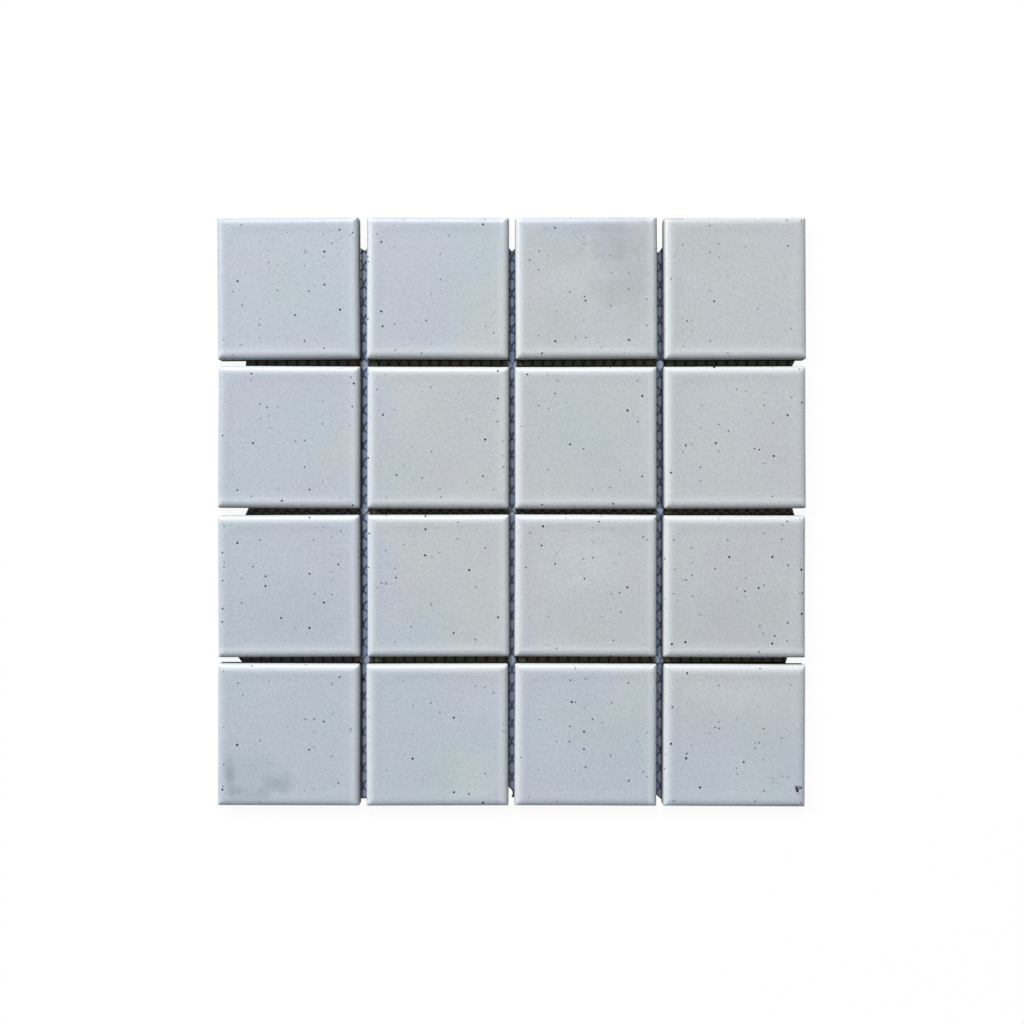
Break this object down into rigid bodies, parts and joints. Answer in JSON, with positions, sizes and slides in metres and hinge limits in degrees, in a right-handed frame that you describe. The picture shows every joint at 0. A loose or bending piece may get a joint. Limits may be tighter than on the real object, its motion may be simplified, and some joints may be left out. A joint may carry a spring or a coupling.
{
  "type": "mosaic tile sheet",
  "caption": "Square mosaic sheet of white cushion-edged ceramic tiles, speckled and satin glazed, laid in a grid with open grout joints and glued by their backs to a dark net.",
  "frame": {"origin": "centre of the sheet's underside, on the plane that the net lies on", "axes": "+Z out of the glazed faces, +Y towards the sheet's upper edge in the picture, +X towards its right edge"},
  "size_m": [0.3024, 0.3026, 0.0075],
  "materials": {
    "glazed_tile": "satin white glaze with a faint blue-grey cast and fine dark speckles, unglazed cream body on the sides and back",
    "net": "dark slate-blue yarn net with hexagonal meshes"
  },
  "bodies": {
    "root": {"net_panel_1_1": "net", "net_panel_1_2": "net", "net_panel_1_3": "net", "net_panel_1_4": "net", "net_panel_1_5": "net", "net_panel_2_1": "net", "net_panel_2_2": "net", "net_panel_2_3": "net", "net_panel_2_4": "net", "net_panel_2_5": "net", "net_panel_3_1": "net", "net_panel_3_2": "net", "net_panel_3_3": "net", "net_panel_3_4": "net", "net_panel_3_5": "net", "net_panel_4_1": "net", "net_panel_4_2": "net", "net_panel_4_3": "net", "net_panel_4_4": "net", "net_panel_4_5": "net", "net_panel_5_1": "net", "net_panel_5_2": "net", "net_panel_5_3": "net", "net_panel_5_4": "net", "net_panel_5_5": "net", "tile_1_1": "glazed_tile", "tile_1_2": "glazed_tile", "tile_1_3": "glazed_tile", "tile_1_4": "glazed_tile", "tile_2_1": "glazed_tile", "tile_2_2": "glazed_tile", "tile_2_3": "glazed_tile", "tile_2_4": "glazed_tile", "tile_3_1": "glazed_tile", "tile_3_2": "glazed_tile", "tile_3_3": "glazed_tile", "tile_3_4": "glazed_tile", "tile_4_1": "glazed_tile", "tile_4_2": "glazed_tile", "tile_4_3": "glazed_tile", "tile_4_4": "glazed_tile"}
  },
  "joints": []
}
